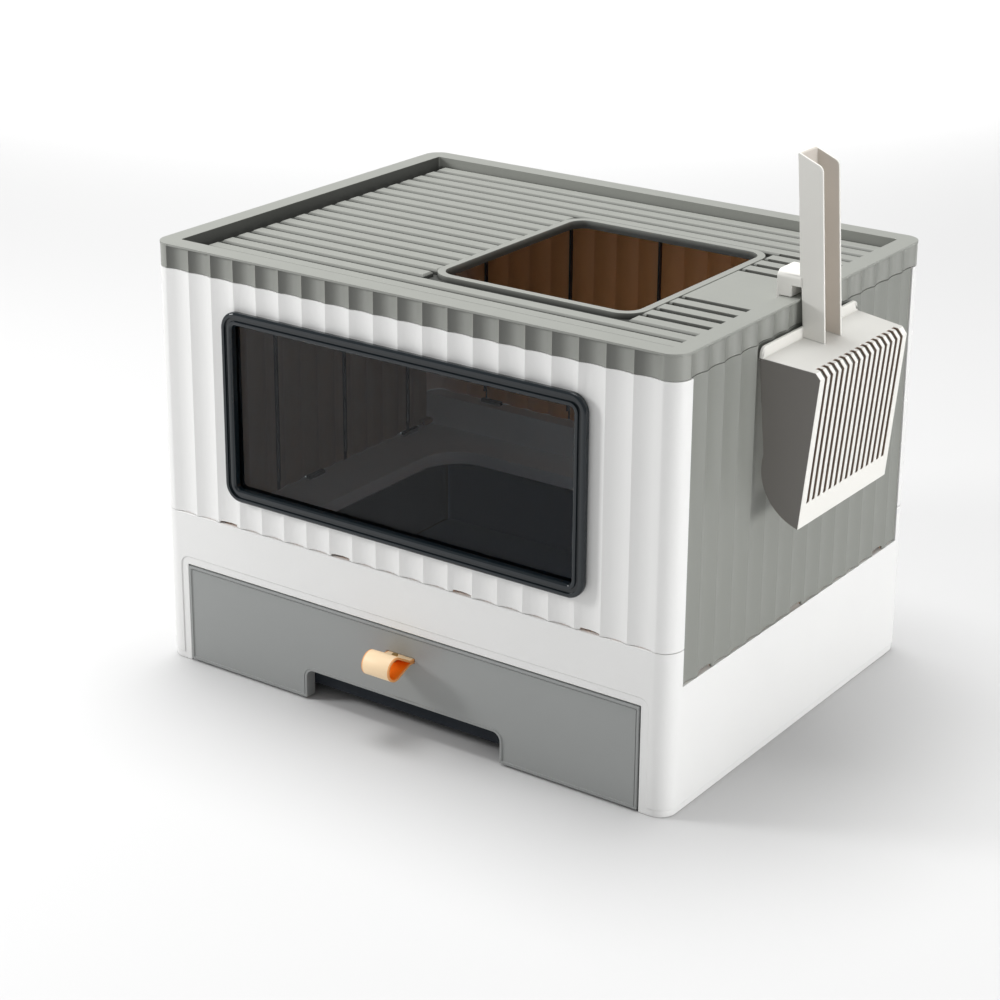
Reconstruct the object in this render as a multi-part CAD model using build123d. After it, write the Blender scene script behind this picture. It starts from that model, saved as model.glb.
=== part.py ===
from build123d import *
import math
import os

# Overall size: X to the right, Y to the back, Z up from the floor
box_length = 500.0
box_depth = 382.0
box_height = 366.5
corner_radius = 15.0
smallest_round = 2.0

# Fluted walls
front_flutes = 20
side_flutes = 15
flute_depth = 2.2
flute_strips = 4
wall_thickness = 2.4
wall_return = 18.5
wall_clearance = 0.4
skin = 0.1
rib_width = 2.0
rib_depth = 6.4
rib_flutes = 4

# Base
base_front_top = 135.0
base_side_top = 104.5
base_wall = 3.0
deck_thickness = 3.0
deck_margin = 58.5
deck_opening_radius = 40.0
deck_lip = 9.0
deck_lip_wall = 2.5
plinth_height = 6.0
plinth_step = 0.8
post_width = 25.3
bay_height = 88.5
bay_border = 7.0
bay_border_step = 0.8
bay_border_radius = 8.0

# Hinges between the base and the walls
pin_radius = 1.5
pin_sides = 12
pin_running = 0.08
pin_seat = 8.0
pin_reach = 10.0
eye_radius = 3.0
eye_sides = 8
eye_width = 12.0
hinge_lift = 0.3
hinge_room = 0.4
tab_width = 22.0
tab_depth = 5.0
front_hinge_shares = (-0.379, -0.128, 0.128, 0.379)
side_hinge_shares = (-0.398, 0.0, 0.398)
hinge_slot = 18.0
side_slot_height = 2.6
front_slot_height = 1.6

# Lid
skirt_height = 20.5
skirt_web = 2.2
lid_seam = 0.3
lip_gap = 0.4
lip_thickness = 2.8
lip_height = 3.5
flange_height = 4.5
lid_border = 2.0
border_step = 0.3
rim_width = 16.5
rim_wall = 2.5
recess_depth = 12.5
lid_plate = 2.5
rib_count = 19
rib_gap = 4.6
rib_height = 4.5
rib_edge = 1.8
gutter = 8.5
entry_length = 180.0
entry_depth = 199.0
entry_radius = 14.0
entry_centre = (64.0, -4.5)
entry_strip = 6.5
entry_strip_rise = 0.3
plate_ribs = 5
slot_width = 7.4
slot_end = 3.0

# Front window
window_side_margin = 75.0
window_foot_margin = 26.0
window_head_margin = 22.7
window_radius = 15.0
bezel_width = 11.0
bezel_proud = 5.0
bezel_edge = 1.3
bezel_groove_width = 3.2
bezel_groove_depth = 1.8
bezel_sleeve = 3.0
bezel_overlap = 4.0
window_fit = 0.3
pane_inset = 1.5
retainer_thickness = 2.5

# Drawer
front_gap = 1.0
front_floor_gap = 1.5
front_plate = 4.0
front_depth = 11.0
front_edge = 2.5
front_edge_line = 0.6
notch_width = 194.0
notch_height = 27.0
notch_radius = 7.0
tray_bottom = 11.0
tray_height = 74.0
tray_wall = 2.5
tray_side_gap = 2.6
tray_back_gap = 16.0
tray_radius = 12.0
tray_rim = 1.4
tray_rim_height = 4.0
screw_radius = 1.5
screw_sides = 8
screw_head_radius = 3.2
screw_head_height = 1.8
boss_radius = 4.0
front_screw_inset = 54.7
front_screw_heights = (30.0, 68.0)

# Drawer runners
runner_gap = 0.3
runner_plate = 2.5
runner_flange = 26.0
runner_shelf = 35.0
runner_guide = 12.0
runner_guide_gap = 0.8
runner_front_gap = 2.0
runner_screw_share = 0.34
runner_screw_height = 22.0
runner_screw_bite = 2.0

# Strap pull
strap_width = 27.0
strap_thickness = 1.8
strap_fit = 0.3
loop_radius = 10.0
loop_reach = 22.5
loop_rise = 1.4
pull_height = 65.5
strap_eye = 1.4
strap_strips = 16
rivet_radius = 1.2
rivet_head_radius = 2.6
rivet_head_height = 1.2
rivet_reach = 6.5
rivet_seat = 0.4

# Scoop, measured from the lid's right rim
scoop_offset = -6.0
scoop_gap = 1.0
scoop_wall = 2.4
scoop_width = 150.0
scoop_taper = 5.0
scoop_lip_top = -21.5
scoop_lip_thickness = 2.8
scoop_lip_round = 6.0
shoulder_back = -29.5
shoulder_front = -34.5
bowl_depth = 50.5
brow_edge = 5.0
slot_margin = 8.0
tip_depth = 38.0
tip_drop = -159.5
cheek_knee = (7.5, -105.0)
cheek_bulge = (14.5, -142.0)
scoop_slots = 15
scoop_slot_width = 4.2
scoop_slot_pitch = 8.7
scoop_slot_wrap = 9.0
scoop_tip_band = 19.5
handle_width = 28.0
handle_wall = 2.3
handle_back_foot = 3.9
handle_back_top = -7.7
handle_front_foot = 22.7
handle_front_top = 13.6
handle_top = 112.0
handle_front_drop = 9.0
handle_round = 6.0
hook_width = 30.0
hook_rest = 0.3
hook_height = 20.0
hook_round = 6.0
hook_reach = 3.5
hook_block = 13.0
hook_arch = 9.5
hook_lip = 2.8
hook_drop = 10.5

# Values worked out from the sizes above
front_run = box_length - 2 * corner_radius
side_run = box_depth - 2 * corner_radius
lid_bottom = box_height - skirt_height
wall_top = lid_bottom - lid_seam
wall_deep = flute_depth + wall_thickness
hinge_inset = wall_deep + eye_radius + hinge_room
hinge_rise = eye_radius + hinge_lift
hinge_axis = base_side_top + hinge_rise
rail_inner = box_depth / 2 - wall_return
side_half = rail_inner - wall_clearance
skirt_inset = border_step + flute_depth + skirt_web
lip_inset = skirt_inset + lip_gap
recess_floor = box_height - recess_depth
rib_top = recess_floor + rib_height
lid_underside = recess_floor - lid_plate
recess_length = box_length - 2 * rim_width
recess_span = box_depth - 2 * rim_width
rib_pitch = recess_span / rib_count
bay_length = box_length - 2 * post_width
deck_opening_length = box_length - 2 * deck_margin
deck_opening_depth = box_depth - 2 * deck_margin
front_hinge_spots = [share * front_run for share in front_hinge_shares]
side_hinge_spots = [share * side_run for share in side_hinge_shares]
front_screw_reach = bay_length / 2 - front_screw_inset
front_screw_spots = [(x, z) for x in (-front_screw_reach, front_screw_reach) for z in front_screw_heights]
runner_screw_spots = (-runner_screw_share * side_run, runner_screw_share * side_run)
window_sill = base_front_top + window_foot_margin
window_length = box_length - 2 * window_side_margin
window_height = wall_top - window_head_margin - window_sill
window_middle = window_sill + window_height / 2
loop_half_angle = math.asin(loop_radius / math.hypot(loop_reach, loop_rise))
strap_fork = strap_thickness / math.sin(loop_half_angle)
strap_eye_centre = front_plate + strap_eye + strap_thickness + strap_fit
overlap = 1.0

# Each wall is drawn with its outer ridges on y = 0 and y growing inwards, then set in place
front_place = Pos(0, -box_depth / 2, 0)
back_place = Pos(0, box_depth / 2, 0) * Rot(0, 0, 180)
right_place = Pos(box_length / 2, 0, 0) * Rot(0, 0, 90)
left_place = Pos(-box_length / 2, 0, 0) * Rot(0, 0, -90)
scoop_place = Pos(box_length / 2, scoop_offset, box_height)


def block(x_span, y_span, z_span):
    """Box between the two ends of each span."""
    spans = (x_span, y_span, z_span)
    middle = [sum(span) / 2 for span in spans]
    size = [span[1] - span[0] for span in spans]
    return Pos(*middle) * Box(*size)


def rounded_prism(length, depth, radius, bottom, top):
    """Upright prism with rounded corners, centred on the Z axis."""
    return Pos(0, 0, bottom) * extrude(RectangleRounded(length, depth, radius), top - bottom)


def bar_along_x(section, start, end):
    """Extrude a section drawn in (y, z) along X."""
    return Pos(start, 0, 0) * extrude(Plane.YZ * section, end - start)


def bar_along_y(section, start, end):
    """Extrude a section drawn in (x, z) along Y."""
    return Pos(0, start, 0) * extrude(Plane.XZ * section, start - end)


def pin_rod(radius, start, end, y, z):
    """Thin pin along X, drawn with few sides."""
    return bar_along_x(Pos(y, z) * RegularPolygon(radius, pin_sides), start, end)


def screw_rod(radius, start, end, x, z):
    """Screw, boss or hole along Y, drawn with few sides."""
    return bar_along_y(Pos(x, z) * RegularPolygon(radius, screw_sides), start, end)


def pin_bore(radius):
    """Few-sided hole whose flats touch a round pin of the given radius."""
    return RegularPolygon(radius, pin_sides, major_radius=False)


def polygon(*points):
    return make_face(Polyline(*points, close=True))


def flute_run(start, end, count, sink):
    """Scalloped run of flutes in flat strips; sink is the vector from a ridge to a flute's bottom."""
    start, end = Vector(*start), Vector(*end)
    step = (end - start) * (1 / count)
    points = [start]
    for index in range(count):
        ridge = start + step * index
        arc = ThreePointArc(ridge, ridge + step * 0.5 + Vector(*sink), ridge + step)
        points += [arc @ (strip / flute_strips) for strip in range(1, flute_strips + 1)]
    return [Polyline(*points)]


def corner_chain(inset):
    """Plan line of an end wall: a return, a round corner, the flutes and the other corner."""
    edge = front_run / 2
    side = box_length / 2 - inset
    bend = corner_radius - inset
    slant = bend * (1 - 0.5 ** 0.5)
    return [
        Line((-side, wall_return), (-side, corner_radius)),
        ThreePointArc((-side, corner_radius), (slant - side, inset + slant), (-edge, inset)),
        *flute_run((-edge, inset), (edge, inset), front_flutes, (0, flute_depth)),
        ThreePointArc((edge, inset), (side - slant, inset + slant), (side, corner_radius)),
        Line((side, corner_radius), (side, wall_return)),
    ]


def end_wall_shell(bottom):
    """Fluted end wall with rounded corner returns, from its foot to the lid seam."""
    side = box_length / 2
    ends = [
        Line((x, wall_return), (x - turn * wall_thickness, wall_return))
        for x, turn in ((-side, -1), (side, 1))
    ]
    plan = make_face(corner_chain(0) + corner_chain(wall_thickness) + ends)
    return Pos(0, 0, bottom) * extrude(plan, wall_top - bottom, dir=(0, 0, 1))


def side_wall_shell(bottom):
    """Fluted side wall, cut off square beside the end walls' returns."""
    edge = side_run / 2
    outer = flute_run((-edge, 0), (edge, 0), side_flutes, (0, flute_depth))
    inner = flute_run((-edge, wall_thickness), (edge, wall_thickness), side_flutes, (0, flute_depth))
    ends = [Line((x, 0), (x, wall_thickness)) for x in (-edge, edge)]
    panel = Pos(0, 0, bottom) * extrude(make_face(outer + inner + ends), wall_top - bottom, dir=(0, 0, 1))
    return panel & block((-side_half, side_half), (-overlap, wall_return), (0, box_height))


def top_lip(half_length):
    """Stepped lip on a wall's top edge that stands inside the lid's skirt."""
    inner = lip_inset + lip_thickness
    span = (-half_length, half_length)
    flange = block(span, (flute_depth + skin, inner), (wall_top - flange_height, wall_top))
    lip = block(span, (lip_inset, inner), (wall_top - overlap, wall_top + lip_height))
    return flange + lip


def stiffening_ribs(count, pitch, bottom):
    """Upright ribs inside a wall, one every few flutes."""
    spots = [pitch * rib_flutes * (index - (count - 1) / 2) for index in range(count)]
    ribs = Part()
    for spot in spots:
        ribs += block(
            (spot - rib_width / 2, spot + rib_width / 2),
            (flute_depth + skin, rib_depth),
            (bottom, wall_top - overlap),
        )
    return ribs


def hinge_eyes():
    """Eyes at both ends of a side wall's foot that turn on the hinge pins."""
    web_depth = hinge_inset - flute_depth - skin
    web_height = 2 * eye_radius * math.cos(math.pi / eye_sides)
    section = Pos(hinge_inset, hinge_axis) * RegularPolygon(eye_radius, eye_sides, rotation=180 / eye_sides)
    section += Pos(hinge_inset - web_depth / 2, hinge_axis) * Rectangle(web_depth, web_height)
    section -= Pos(hinge_inset, hinge_axis) * pin_bore(pin_radius + pin_running)
    return [
        bar_along_x(section, start, start + eye_width) for start in (-side_half, side_half - eye_width)
    ]


def side_hinge_pins(section):
    """Two pins of one side, or their holes, each between the base's end rail and the wall's eye."""
    inner, outer = side_half - pin_reach, rail_inner + pin_seat
    placed = Pos(hinge_inset, hinge_axis) * section
    return [bar_along_x(placed, start, end) for start, end in ((-outer, -inner), (inner, outer))]


def make_hinge_pins():
    pins = Part()
    for place in (left_place, right_place):
        for pin in side_hinge_pins(Circle(pin_radius)):
            pins += place * pin
    return pins


def hinge_tabs(spots, seat):
    """Tabs on the base behind the slots in a wall's foot."""
    back = hinge_inset + tab_depth / 2
    half = tab_width / 2
    return [
        block((spot - half, spot + half), (back - tab_depth, back), (seat - overlap, seat + hinge_rise))
        for spot in spots
    ]


def hinge_slots(spots, bottom, height):
    """Openings in a wall's bottom edge in front of the hinges."""
    half = hinge_slot / 2
    return [
        block((spot - half, spot + half), (-overlap, wall_deep + skin), (bottom - overlap, bottom + height))
        for spot in spots
    ]


def make_end_wall():
    """Plain end wall, as at the back."""
    bottom = base_front_top + wall_clearance
    wall = end_wall_shell(bottom)
    wall += top_lip(front_run / 2)
    for slot in hinge_slots(front_hinge_spots, bottom, front_slot_height):
        wall -= slot
    return wall


def make_front_wall():
    sleeve_room = 2 * (bezel_width - bezel_overlap - bezel_sleeve - window_fit)
    opening = RectangleRounded(
        window_length - sleeve_room, window_height - sleeve_room, window_radius - sleeve_room / 2
    )
    cut = bar_along_y(Pos(0, window_middle) * opening, -overlap, wall_return)
    return make_end_wall() - cut


def make_back_wall():
    ribs_bottom = base_front_top + hinge_rise + 2 * eye_radius
    rib_total = front_flutes // rib_flutes
    return make_end_wall() + stiffening_ribs(rib_total, front_run / front_flutes, ribs_bottom)


def make_side_wall():
    bottom = base_side_top + wall_clearance
    ribs_bottom = hinge_axis + 2 * eye_radius
    wall = side_wall_shell(bottom)
    wall += top_lip(side_half)
    wall += stiffening_ribs(side_flutes // rib_flutes + 1, side_run / side_flutes, ribs_bottom)
    for slot in hinge_slots(side_hinge_spots, bottom, side_slot_height):
        wall -= slot
    for eye in hinge_eyes():
        wall += eye
    return wall


def make_base_frame():
    """Base housing: plinth, drawer bay, deck ring over the drawer and the raised end rails."""
    deck_bottom = base_side_top - deck_thickness
    frame = rounded_prism(box_length, box_depth, corner_radius, plinth_height, base_front_top)
    frame += rounded_prism(
        box_length - 2 * plinth_step,
        box_depth - 2 * plinth_step,
        corner_radius - plinth_step,
        0,
        plinth_height,
    )
    frame -= rounded_prism(
        box_length - 2 * base_wall,
        box_depth - 2 * base_wall,
        corner_radius - base_wall,
        -overlap,
        deck_bottom,
    )
    frame -= block(
        (-box_length, box_length), (-rail_inner, rail_inner), (base_side_top, base_front_top + overlap)
    )
    rail_cavity = block(
        (-front_run / 2, front_run / 2),
        (base_wall, wall_return - base_wall),
        (deck_bottom - overlap, base_front_top - base_wall),
    )
    for place in (front_place, back_place):
        frame -= place * rail_cavity
    frame -= rounded_prism(
        deck_opening_length,
        deck_opening_depth,
        deck_opening_radius,
        deck_bottom - overlap,
        base_side_top + overlap,
    )
    lip_bottom = deck_bottom - deck_lip
    lip_ring = rounded_prism(
        deck_opening_length + 2 * deck_lip_wall,
        deck_opening_depth + 2 * deck_lip_wall,
        deck_opening_radius + deck_lip_wall,
        lip_bottom,
        deck_bottom + overlap,
    )
    lip_ring -= rounded_prism(
        deck_opening_length, deck_opening_depth, deck_opening_radius, lip_bottom - overlap, base_side_top
    )
    frame += lip_ring
    frame -= front_place * bay_cut(0, base_wall + overlap, 0)
    frame -= front_place * bay_cut(bay_border, bay_border_step, bay_border_radius)
    for spots, seat, places in (
        (front_hinge_spots, base_front_top, (front_place, back_place)),
        (side_hinge_spots, base_side_top, (left_place, right_place)),
    ):
        for tab in hinge_tabs(spots, seat):
            for place in places:
                frame += place * tab
    for place in (left_place, right_place):
        for hole in side_hinge_pins(pin_bore(pin_radius)):
            frame -= place * hole
        for spot in runner_screw_spots:
            depth = base_wall - runner_screw_bite
            frame -= place * screw_rod(screw_radius, depth, base_wall + overlap, spot, runner_screw_height)
    return frame


def bay_cut(border, depth, radius):
    """Cutter for the drawer bay's mouth, or for the shallow border round it."""
    half = bay_length / 2 + border
    top = bay_height + border
    cutter = block((-half, half), (-overlap, depth), (-overlap, top))
    if radius > 0:
        cutter = fillet(cutter.edges().filter_by(Axis.Y).group_by(Axis.Z)[-1], radius)
    return cutter


def make_lid():
    """Lid: fluted skirt, hollow rim, ribbed recess and the entry opening."""
    lid = fluted_skirt()
    lid += rounded_prism(box_length, box_depth, corner_radius, box_height - lid_border, box_height)
    inner = 2 * skirt_inset
    lid -= block_ring_prism(inner, lid_bottom - overlap, lid_underside)
    channel = block_ring_prism(inner, lid_underside - overlap, box_height - rim_wall)
    channel -= block_ring_prism(2 * (rim_width - rim_wall), lid_underside - 2 * overlap, box_height)
    lid -= channel
    lid -= block_ring_prism(2 * rim_width, recess_floor, box_height + overlap)
    for rib in lid_ribs():
        lid += rib
    lid += entry_prism(entry_strip, recess_floor - overlap, rib_top + entry_strip_rise)
    lid -= entry_prism(0, lid_underside - overlap, box_height)
    for slot in lid_slots():
        lid -= slot
    return lid


def fluted_skirt():
    """Solid of the lid's fluted band, a little inside the plain border above it."""
    x, y = front_run / 2, side_run / 2
    half_x, half_y = box_length / 2 - border_step, box_depth / 2 - border_step
    slant = (corner_radius - border_step) * (1 - 0.5 ** 0.5)
    corners = [
        ThreePointArc(
            (sx * x, sy * half_y), (sx * (half_x - slant), sy * (half_y - slant)), (sx * half_x, sy * y)
        )
        for sx in (-1, 1)
        for sy in (-1, 1)
    ]
    runs = [
        *flute_run((-x, -half_y), (x, -half_y), front_flutes, (0, flute_depth)),
        *flute_run((-x, half_y), (x, half_y), front_flutes, (0, -flute_depth)),
        *flute_run((-half_x, -y), (-half_x, y), side_flutes, (flute_depth, 0)),
        *flute_run((half_x, -y), (half_x, y), side_flutes, (-flute_depth, 0)),
    ]
    band = extrude(make_face(runs + corners), skirt_height - lid_border + overlap, dir=(0, 0, 1))
    return Pos(0, 0, lid_bottom) * band


def block_ring_prism(shrink, bottom, top):
    """Upright prism inside the lid's outline, smaller by the given amount each way."""
    radius = max(corner_radius - shrink / 2, smallest_round)
    return rounded_prism(box_length - shrink, box_depth - shrink, radius, bottom, top)


def entry_prism(grow, bottom, top):
    """Upright prism of the entry, or of the flat strip round it."""
    prism = rounded_prism(
        entry_length + 2 * grow, entry_depth + 2 * grow, entry_radius + grow, bottom, top
    )
    return Pos(*entry_centre) * prism


def rib_bar(start, end, y, width):
    """Raised bar on the lid with bevelled top edges."""
    bar = block((start, end), (y - width / 2, y + width / 2), (recess_floor - overlap, rib_top))
    return chamfer(bar.edges().group_by(Axis.Z)[-1], rib_edge)


def lid_ribs():
    """Bars across the recess, broken by the entry and by the flat plate beside it."""
    reach = recess_length / 2 - gutter
    middle_x, middle_y = entry_centre
    strip_left = middle_x - entry_length / 2 - entry_strip
    strip_right = middle_x + entry_length / 2 + entry_strip
    width = rib_pitch - rib_gap
    bars = []
    for index in range(rib_count):
        step = index - (rib_count - 1) / 2
        y = step * rib_pitch
        if abs(y - middle_y) - width / 2 > entry_depth / 2 + entry_strip:
            bars.append(rib_bar(-reach, reach, y, width))
        else:
            bars.append(rib_bar(-reach, strip_left + overlap, y, width))
            if abs(step) > plate_ribs / 2:
                bars.append(rib_bar(strip_right - overlap, reach, y, width))
    bars.append(rib_bar(strip_right - overlap, reach, 0, plate_ribs * rib_pitch - rib_gap))
    return bars


def lid_slots():
    """Slots through the grooves at the right of the entry, a little into the bars beside them."""
    start = entry_centre[0] + entry_length / 2 + entry_strip + slot_end
    end = recess_length / 2 - gutter - slot_end
    first = plate_ribs / 2
    slots = []
    for index in range(int(entry_depth / 2 / rib_pitch - first) + 2):
        for turn in (-1, 1):
            y = turn * (first + index) * rib_pitch
            span = (y - slot_width / 2, y + slot_width / 2)
            slots.append(block((start, end), span, (lid_underside - overlap, rib_top + overlap)))
    return slots


def window_ring(outer_inset, inner_inset, start, end):
    """Rounded ring round the window, between two insets from the bezel's outline."""
    ring = window_plate(outer_inset, start, end)
    ring -= window_plate(inner_inset, start - overlap, end + overlap)
    return ring


def window_plate(inset, start, end):
    radius = max(window_radius - inset, smallest_round)
    outline = RectangleRounded(window_length - 2 * inset, window_height - 2 * inset, radius)
    return bar_along_y(Pos(0, window_middle) * outline, start, end)


def make_window_bezel():
    """Front frame of the window: two ridges with a groove between, and a sleeve through the wall."""
    rebate = bezel_width - bezel_overlap
    flange = window_ring(0, bezel_width, -bezel_proud, 0)
    flange = chamfer(flange.edges().group_by(Axis.Y)[0], bezel_edge)
    groove_start = (bezel_width - bezel_groove_width) / 2
    flange -= window_ring(
        groove_start,
        groove_start + bezel_groove_width,
        -bezel_proud - overlap,
        bezel_groove_depth - bezel_proud,
    )
    seat = window_ring(rebate - bezel_sleeve, bezel_width, -overlap, pane_inset)
    sleeve = window_ring(rebate - bezel_sleeve, rebate, -overlap, wall_deep)
    return front_place * (flange + seat + sleeve)


def make_window_pane():
    rebate = bezel_width - bezel_overlap
    return front_place * window_plate(rebate + window_fit, pane_inset, wall_deep)


def make_window_retainer():
    """Inner ring that traps the pane in the bezel's sleeve."""
    return front_place * window_ring(0, bezel_width, wall_deep, wall_deep + retainer_thickness)


def front_outline(inset):
    """Drawer front seen from ahead, with the hand notch in its lower edge."""
    half = bay_length / 2 - front_gap - inset
    low = front_floor_gap + inset
    high = bay_height - front_gap - inset
    outline = Pos(0, (low + high) / 2) * Rectangle(2 * half, high - low)
    notch = Pos(0, notch_height / 2) * Rectangle(notch_width + 2 * inset, notch_height + 2 * inset)
    notch = fillet(notch.vertices().group_by(Axis.Y)[-1], notch_radius + inset)
    return outline - notch


def make_drawer_front():
    """Fascia: a tray-like panel with a fine raised edge, screw bosses and the strap's slot."""
    front = bar_along_y(front_outline(0), 0, front_depth)
    front -= bar_along_y(front_outline(front_edge), front_plate, front_depth + overlap)
    front -= bar_along_y(front_outline(front_edge), -overlap, front_edge_line)
    for x, z in front_screw_spots:
        front += screw_rod(boss_radius, front_plate - overlap, front_depth, x, z)
        front -= screw_rod(screw_radius, front_plate, front_depth + overlap, x, z)
    half_slot = strap_width / 2 + strap_fit
    half_height = strap_thickness + strap_fit
    front -= block(
        (-half_slot, half_slot),
        (-overlap, front_plate + overlap),
        (pull_height - half_height, pull_height + half_height),
    )
    return front_place * front


def make_drawer_tray():
    """Open litter tray behind the drawer front."""
    half = bay_length / 2 - tray_side_gap
    start = front_depth
    end = box_depth - base_wall - tray_back_gap
    place = front_place * Pos(0, (start + end) / 2, 0)
    depth = end - start
    top = tray_bottom + tray_height
    tray = rounded_prism(2 * half, depth, tray_radius, tray_bottom, top)
    rim = rounded_prism(
        2 * (half + tray_rim), depth, tray_radius + tray_rim, top - tray_rim_height, top
    )
    tray += rim
    tray -= rounded_prism(
        2 * (half - tray_wall),
        depth - 2 * tray_wall,
        tray_radius - tray_wall,
        tray_bottom + tray_wall,
        top + overlap,
    )
    tray = place * tray
    for x, z in front_screw_spots:
        tray -= front_place * screw_rod(screw_radius, start - overlap, start + tray_wall + overlap, x, z)
    return tray


def make_drawer_screws():
    """Pan-head screws from inside the tray into the fascia's bosses."""
    screws = Part()
    head = front_depth + tray_wall
    for x, z in front_screw_spots:
        screw = screw_rod(screw_radius, front_plate, head + overlap, x, z)
        screw += screw_rod(screw_head_radius, head, head + screw_head_height, x, z)
        screws += front_place * screw
    return screws


def runner_section():
    """Rail on a side wall of the base: screw flange, shelf and an upright guide."""
    top = tray_bottom - runner_gap
    bottom = top - runner_plate
    guide = post_width + tray_side_gap - runner_guide_gap
    return polygon(
        (base_wall, bottom),
        (runner_shelf, bottom),
        (runner_shelf, top),
        (guide, top),
        (guide, top + runner_guide),
        (guide - runner_plate, top + runner_guide),
        (guide - runner_plate, top),
        (base_wall + runner_plate, top),
        (base_wall + runner_plate, bottom + runner_flange),
        (base_wall, bottom + runner_flange),
    )


def make_runners():
    """Left and right rails, mirror images of each other."""
    start = max(front_depth + runner_front_gap, corner_radius) - box_depth / 2
    end = box_depth / 2 - corner_radius
    rails = []
    for place, span in ((left_place, (-end, -start)), (right_place, (start, end))):
        rail = bar_along_x(runner_section(), *span)
        for spot in runner_screw_spots:
            depth = base_wall + runner_plate + overlap
            rail -= screw_rod(screw_radius, base_wall - overlap, depth, spot, runner_screw_height)
        rails.append(place * rail)
    return rails


def make_runner_screws():
    screws = Part()
    head = base_wall + runner_plate
    for place in (left_place, right_place):
        for spot in runner_screw_spots:
            screw = screw_rod(
                screw_radius, base_wall - runner_screw_bite, head + overlap, spot, runner_screw_height
            )
            screw += screw_rod(screw_head_radius, head, head + screw_head_height, spot, runner_screw_height)
            screws += place * screw
    return screws


def strap_section():
    """Teardrop loop, flat tab through the slot and a small eye behind the drawer front, in (y, z)."""
    centre = Vector(-loop_reach, pull_height + loop_rise)
    tab_middle = (strap_eye_centre - strap_fork) / 2
    tab = Pos(tab_middle, pull_height) * Rectangle(strap_eye_centre + strap_fork, 2 * strap_thickness)
    eye = Pos(strap_eye_centre, pull_height) * RegularPolygon(strap_eye + strap_thickness, pin_sides)
    hollow = teardrop(centre, loop_radius - strap_thickness, -strap_fork)
    section = teardrop(centre, loop_radius, 0) + tab + eye
    return section - hollow - Pos(strap_eye_centre, pull_height) * RegularPolygon(strap_eye, pin_sides)


def teardrop(centre, radius, tip):
    """Circle of flat strips drawn out to a point at the drawer front."""
    point = Vector(tip, pull_height)
    apart = point - centre
    reach = apart.length
    along = apart.normalized()
    across = Vector(-along.Y, along.X)
    foot = centre + along * (radius * radius / reach)
    half = radius * (1 - (radius / reach) ** 2) ** 0.5
    upper = foot + across * half
    lower = foot - across * half
    arc = ThreePointArc(upper, centre - along * radius, lower)
    return polygon(point, *[arc @ (strip / strap_strips) for strip in range(strap_strips + 1)])


def rivet_span():
    """Lowest and highest points of the strap at the rivet's axis, with a seat for each head."""
    tilt = math.atan2(loop_rise, loop_reach)
    rise = rivet_reach * math.tan(loop_half_angle + tilt) + rivet_seat
    fall = rivet_reach * math.tan(loop_half_angle - tilt) + rivet_seat
    return pull_height - fall, pull_height + rise


def rivet_rod(radius, bottom, top):
    return Pos(0, -rivet_reach, bottom) * extrude(RegularPolygon(radius, pin_sides), top - bottom)


def make_pull_loop():
    low, high = rivet_span()
    strap = bar_along_x(strap_section(), -strap_width / 2, strap_width / 2)
    strap -= rivet_rod(rivet_radius, low - loop_radius, high + loop_radius)
    strap -= rivet_rod(rivet_head_radius, high, high + loop_radius)
    strap -= rivet_rod(rivet_head_radius, low - loop_radius, low)
    return front_place * strap


def make_pull_rivet():
    """Rivet that closes the strap just ahead of the drawer front."""
    low, high = rivet_span()
    rivet = rivet_rod(rivet_radius, low, high)
    rivet += rivet_rod(rivet_head_radius, high, high + rivet_head_height)
    rivet += rivet_rod(rivet_head_radius, low - rivet_head_height, low)
    return front_place * rivet


def make_pull_pin():
    """Rod through the strap's eye that stops it pulling back through its slot."""
    return front_place * pin_rod(strap_eye, -strap_width / 2, strap_width / 2, strap_eye_centre, pull_height)


def bowl_plan(inset, reach):
    """Plan of the scoop's bowl, narrower at its slotted face."""
    back = scoop_width / 2 - inset
    slope = scoop_taper / bowl_depth
    near, far = -reach, bowl_depth + reach
    plan = polygon(
        (near, back - slope * near),
        (far, back - slope * far),
        (far, slope * far - back),
        (near, slope * near - back),
    )
    return Pos(0, 0, tip_drop - reach) * extrude(plan, reach * 2 - tip_drop, dir=(0, 0, 1))


def face_line(z):
    """How far the slotted face stands from the wall at a height."""
    share = (z - tip_drop) / (shoulder_front - tip_drop)
    return tip_depth + (bowl_depth - tip_depth) * share


def make_bowl():
    """Scoop bowl, open towards the wall, with curved cheeks and a slotted face."""
    heel = (scoop_gap, shoulder_back)
    brow = (bowl_depth, shoulder_front)
    tip = (tip_depth, tip_drop)
    half = scoop_width / 2
    cheek = ThreePointArc(tip, cheek_bulge, cheek_knee)
    outline = make_face([Line(heel, brow), Line(brow, tip), cheek, Line(cheek_knee, heel)])
    outline = chamfer(outline.vertices().sort_by_distance((*brow, 0))[0], brow_edge)
    bowl = bar_along_y(outline, -half, half) & bowl_plan(0, scoop_width)
    rake = (shoulder_front - shoulder_back) / (bowl_depth - scoop_gap)
    inner_brow = (bowl_depth - scoop_wall, shoulder_front - scoop_wall - rake * scoop_wall)
    far = -bowl_depth
    hollow = polygon(
        inner_brow,
        (tip_depth - scoop_wall, tip_drop),
        (tip_depth - scoop_wall, tip_drop - scoop_tip_band),
        (far, tip_drop - scoop_tip_band),
        (far, shoulder_back - scoop_wall + rake * (far - scoop_gap)),
    )
    inner_edge = brow_edge - scoop_wall * (2 - 2 ** 0.5)
    hollow = chamfer(hollow.vertices().sort_by_distance((*inner_brow, 0))[0], inner_edge)
    bowl -= bar_along_y(hollow, -half, half) & bowl_plan(scoop_wall, scoop_width)
    return bowl


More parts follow.
